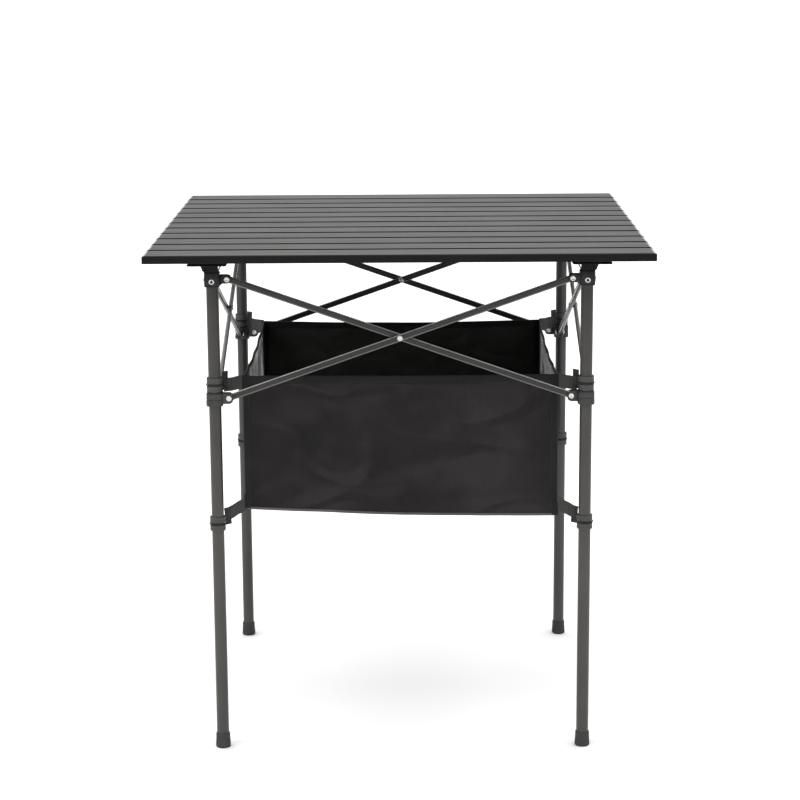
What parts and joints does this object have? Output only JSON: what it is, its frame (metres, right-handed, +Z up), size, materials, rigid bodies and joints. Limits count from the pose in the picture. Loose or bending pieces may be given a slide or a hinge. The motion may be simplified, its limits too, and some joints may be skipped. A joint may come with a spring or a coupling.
{
  "type": "folding camp table",
  "caption": "Folding camp table with a roll-up slatted top, a scissor frame on four legs and a cloth storage bag slung between the legs.",
  "frame": {"origin": "on the floor below the centre of the top", "axes": "+Z up, X along the slats, the front of the table towards -Y"},
  "size_m": [0.7, 0.6988, 0.737],
  "materials": {
    "slats": "satin anodised grey",
    "tubes": "dark grey coated tube",
    "bars": "dark grey coated flat bar",
    "brackets": "moulded black plastic",
    "caps": "moulded black plastic",
    "sliders": "moulded black plastic",
    "collars": "moulded dark grey plastic",
    "feet": "dark grey rubber",
    "straps": "black webbing",
    "cord": "black elastic cord",
    "bag_cloth": "black woven polyester"
  },
  "bodies": {
    "leg_fl": {"leg_tube_fl": "tubes", "foot_fl": "feet", "bracket_fl": "brackets", "cap_fl": "caps"},
    "leg_fr": {"leg_tube_fr": "tubes", "foot_fr": "feet", "bracket_fr": "brackets", "cap_fr": "caps"},
    "leg_br": {"leg_tube_br": "tubes", "foot_br": "feet", "bracket_br": "brackets", "cap_br": "caps"},
    "leg_bl": {"leg_tube_bl": "tubes", "foot_bl": "feet", "bracket_bl": "brackets", "cap_bl": "caps"},
    "slider_body_fl": {"slider_fl": "sliders"},
    "slider_body_fr": {"slider_fr": "sliders"},
    "slider_body_br": {"slider_br": "sliders"},
    "slider_body_bl": {"slider_bl": "sliders"},
    "collars_fl": {"collar_upper_fl": "collars", "collar_lower_fl": "collars", "strap_upper_fl": "straps", "strap_lower_fl": "straps", "bag_walls": "bag_cloth"},
    "collars_fr": {"collar_upper_fr": "collars", "collar_lower_fr": "collars", "strap_upper_fr": "straps", "strap_lower_fr": "straps"},
    "collars_br": {"collar_upper_br": "collars", "collar_lower_br": "collars", "strap_upper_br": "straps", "strap_lower_br": "straps"},
    "collars_bl": {"collar_upper_bl": "collars", "collar_lower_bl": "collars", "strap_upper_bl": "straps", "strap_lower_bl": "straps"},
    "link_front_a": {"bar_front_a": "bars"},
    "link_front_b": {"bar_front_b": "bars"},
    "link_right_a": {"bar_right_a": "bars"},
    "link_right_b": {"bar_right_b": "bars"},
    "link_back_a": {"bar_back_a": "bars"},
    "link_back_b": {"bar_back_b": "bars"},
    "link_left_a": {"bar_left_a": "bars"},
    "link_left_b": {"bar_left_b": "bars"},
    "floor_left": {"bag_floor_left": "bag_cloth"},
    "floor_right": {"bag_floor_right": "bag_cloth"},
    "top_01": {"slat_01": "slats", "elastic_cord": "cord"},
    "top_02": {"slat_02": "slats"},
    "top_03": {"slat_03": "slats"},
    "top_04": {"slat_04": "slats"},
    "top_05": {"slat_05": "slats"},
    "top_06": {"slat_06": "slats"},
    "top_07": {"slat_07": "slats"},
    "top_08": {"slat_08": "slats"},
    "top_09": {"slat_09": "slats"},
    "top_10": {"slat_10": "slats"},
    "top_11": {"slat_11": "slats"},
    "top_12": {"slat_12": "slats"}
  },
  "joints": [
    {"name": "fold", "type": "hinge", "parent": "leg_fl", "child": "link_front_a", "pos_m": [-0.242, -0.2625, 0.6913], "axis": [0, 1, 0], "range_deg": [0, 65], "deforming": ["bag_walls", "bag_floor_left", "bag_floor_right"]},
    {"name": "cross_front", "type": "hinge", "parent": "link_front_a", "child": "link_front_b", "pos_m": [0, -0.2625, 0.6068], "axis": [0, 1, 0], "range_deg": [-130.5, 0.5]},
    {"name": "top_pivot_fr", "type": "hinge", "parent": "link_front_b", "child": "leg_fr", "pos_m": [0.242, -0.2625, 0.6913], "axis": [0, 1, 0], "range_deg": [-0.5, 65.5]},
    {"name": "low_pivot_fr", "type": "hinge", "parent": "link_front_a", "child": "slider_body_fr", "pos_m": [0.242, -0.2625, 0.5223], "axis": [0, 1, 0], "range_deg": [-65.5, 0.5]},
    {"name": "low_pivot_fl", "type": "hinge", "parent": "link_front_b", "child": "slider_body_fl", "pos_m": [-0.242, -0.2625, 0.5223], "axis": [0, 1, 0], "range_deg": [-0.5, 65.5]},
    {"name": "top_pivot_left", "type": "hinge", "parent": "leg_fl", "child": "link_left_b", "pos_m": [-0.2625, -0.242, 0.6913], "axis": [-1, 0, 0], "range_deg": [-0.5, 65.5]},
    {"name": "cross_left", "type": "hinge", "parent": "link_left_b", "child": "link_left_a", "pos_m": [-0.2625, 0, 0.6068], "axis": [-1, 0, 0], "range_deg": [-130.5, 0.5]},
    {"name": "top_pivot_bl", "type": "hinge", "parent": "link_left_a", "child": "leg_bl", "pos_m": [-0.2625, 0.242, 0.6913], "axis": [-1, 0, 0], "range_deg": [-0.5, 65.5]},
    {"name": "low_pivot_bl", "type": "hinge", "parent": "link_left_b", "child": "slider_body_bl", "pos_m": [-0.2625, 0.242, 0.5223], "axis": [-1, 0, 0], "range_deg": [-65.5, 0.5]},
    {"name": "top_pivot_back", "type": "hinge", "parent": "leg_bl", "child": "link_back_b", "pos_m": [-0.242, 0.2625, 0.6913], "axis": [0, 1, 0], "range_deg": [-0.5, 65.5]},
    {"name": "cross_back", "type": "hinge", "parent": "link_back_b", "child": "link_back_a", "pos_m": [0, 0.2625, 0.6068], "axis": [0, 1, 0], "range_deg": [-130.5, 0.5]},
    {"name": "top_pivot_br", "type": "hinge", "parent": "link_back_a", "child": "leg_br", "pos_m": [0.242, 0.2625, 0.6913], "axis": [0, 1, 0], "range_deg": [-0.5, 65.5]},
    {"name": "low_pivot_br", "type": "hinge", "parent": "link_back_b", "child": "slider_body_br", "pos_m": [0.242, 0.2625, 0.5223], "axis": [0, 1, 0], "range_deg": [-65.5, 0.5]},
    {"name": "top_pivot_right", "type": "hinge", "parent": "leg_fr", "child": "link_right_a", "pos_m": [0.2625, -0.242, 0.6913], "axis": [-1, 0, 0], "range_deg": [-0.5, 65.5]},
    {"name": "cross_right", "type": "hinge", "parent": "link_right_a", "child": "link_right_b", "pos_m": [0.2625, 0, 0.6068], "axis": [-1, 0, 0], "range_deg": [-130.5, 0.5]},
    {"name": "collar_slide_fl", "type": "slide", "parent": "leg_fl", "child": "collars_fl", "axis": [0, 0, -1], "range_m": [-0.001, 0.21655]},
    {"name": "collar_slide_fr", "type": "slide", "parent": "leg_fr", "child": "collars_fr", "axis": [0, 0, -1], "range_m": [-0.001, 0.21655]},
    {"name": "collar_slide_br", "type": "slide", "parent": "leg_br", "child": "collars_br", "axis": [0, 0, -1], "range_m": [-0.001, 0.21655]},
    {"name": "collar_slide_bl", "type": "slide", "parent": "leg_bl", "child": "collars_bl", "axis": [0, 0, -1], "range_m": [-0.001, 0.21655]},
    {"name": "floor_fold_left", "type": "hinge", "parent": "collars_fl", "child": "floor_left", "pos_m": [-0.225, 0, 0.341], "axis": [0, -1, 0], "range_deg": [-0.5, 88.79]},
    {"name": "floor_fold_right", "type": "hinge", "parent": "collars_fr", "child": "floor_right", "pos_m": [0.225, 0, 0.341], "axis": [0, 1, 0], "range_deg": [-0.5, 88.79]},
    {"name": "top_lift", "type": "slide", "parent": "leg_fl", "child": "top_01", "axis": [0, 0, 1], "range_m": [0, 0.15]},
    {"name": "roll", "type": "hinge", "parent": "top_01", "child": "top_02", "pos_m": [0, -0.29167, 0.737], "axis": [1, 0, 0], "range_deg": [0, 28], "deforming": ["elastic_cord"]},
    {"name": "slat_hinge_02", "type": "hinge", "parent": "top_02", "child": "top_03", "pos_m": [0, -0.23333, 0.737], "axis": [1, 0, 0], "range_deg": [-0.5, 28.5]},
    {"name": "slat_hinge_03", "type": "hinge", "parent": "top_03", "child": "top_04", "pos_m": [0, -0.175, 0.737], "axis": [1, 0, 0], "range_deg": [-0.5, 28.5]},
    {"name": "slat_hinge_04", "type": "hinge", "parent": "top_04", "child": "top_05", "pos_m": [0, -0.11667, 0.737], "axis": [1, 0, 0], "range_deg": [-0.5, 28.5]},
    {"name": "slat_hinge_05", "type": "hinge", "parent": "top_05", "child": "top_06", "pos_m": [0, -0.05833, 0.737], "axis": [1, 0, 0], "range_deg": [-0.5, 28.5]},
    {"name": "slat_hinge_06", "type": "hinge", "parent": "top_06", "child": "top_07", "pos_m": [0, 0, 0.737], "axis": [1, 0, 0], "range_deg": [-0.5, 28.5]},
    {"name": "slat_hinge_07", "type": "hinge", "parent": "top_07", "child": "top_08", "pos_m": [0, 0.05833, 0.737], "axis": [1, 0, 0], "range_deg": [-0.5, 28.5]},
    {"name": "slat_hinge_08", "type": "hinge", "parent": "top_08", "child": "top_09", "pos_m": [0, 0.11667, 0.737], "axis": [1, 0, 0], "range_deg": [-0.5, 28.5]},
    {"name": "slat_hinge_09", "type": "hinge", "parent": "top_09", "child": "top_10", "pos_m": [0, 0.175, 0.737], "axis": [1, 0, 0], "range_deg": [-0.5, 28.5]},
    {"name": "slat_hinge_10", "type": "hinge", "parent": "top_10", "child": "top_11", "pos_m": [0, 0.23333, 0.737], "axis": [1, 0, 0], "range_deg": [-0.5, 28.5]},
    {"name": "slat_hinge_11", "type": "hinge", "parent": "top_11", "child": "top_12", "pos_m": [0, 0.29167, 0.737], "axis": [1, 0, 0], "range_deg": [-0.5, 28.5]}
  ],
  "couplings": [
    {"joint": "cross_front", "follows": "fold", "ratio": -2},
    {"joint": "top_pivot_fr", "follows": "fold", "ratio": 1},
    {"joint": "low_pivot_fr", "follows": "fold", "ratio": -1},
    {"joint": "low_pivot_fl", "follows": "fold", "ratio": 1},
    {"joint": "top_pivot_left", "follows": "fold", "ratio": 1},
    {"joint": "cross_left", "follows": "fold", "ratio": -2},
    {"joint": "top_pivot_bl", "follows": "fold", "ratio": 1},
    {"joint": "low_pivot_bl", "follows": "fold", "ratio": -1},
    {"joint": "top_pivot_back", "follows": "fold", "ratio": 1},
    {"joint": "cross_back", "follows": "fold", "ratio": -2},
    {"joint": "top_pivot_br", "follows": "fold", "ratio": 1},
    {"joint": "low_pivot_br", "follows": "fold", "ratio": -1},
    {"joint": "top_pivot_right", "follows": "fold", "ratio": 1},
    {"joint": "cross_right", "follows": "fold", "ratio": -2},
    {"joint": "collar_slide_fl", "follows": "fold", "m_per_rad": 0.19},
    {"joint": "collar_slide_fr", "follows": "fold", "m_per_rad": 0.19},
    {"joint": "collar_slide_br", "follows": "fold", "m_per_rad": 0.19},
    {"joint": "collar_slide_bl", "follows": "fold", "m_per_rad": 0.19},
    {"joint": "floor_fold_left", "follows": "fold", "ratio": 1.3506},
    {"joint": "floor_fold_right", "follows": "fold", "ratio": 1.3506},
    {"joint": "slat_hinge_02", "follows": "roll", "ratio": 1},
    {"joint": "slat_hinge_03", "follows": "roll", "ratio": 1},
    {"joint": "slat_hinge_04", "follows": "roll", "ratio": 1},
    {"joint": "slat_hinge_05", "follows": "roll", "ratio": 1},
    {"joint": "slat_hinge_06", "follows": "roll", "ratio": 1},
    {"joint": "slat_hinge_07", "follows": "roll", "ratio": 1},
    {"joint": "slat_hinge_08", "follows": "roll", "ratio": 1},
    {"joint": "slat_hinge_09", "follows": "roll", "ratio": 1},
    {"joint": "slat_hinge_10", "follows": "roll", "ratio": 1},
    {"joint": "slat_hinge_11", "follows": "roll", "ratio": 1}
  ]
}
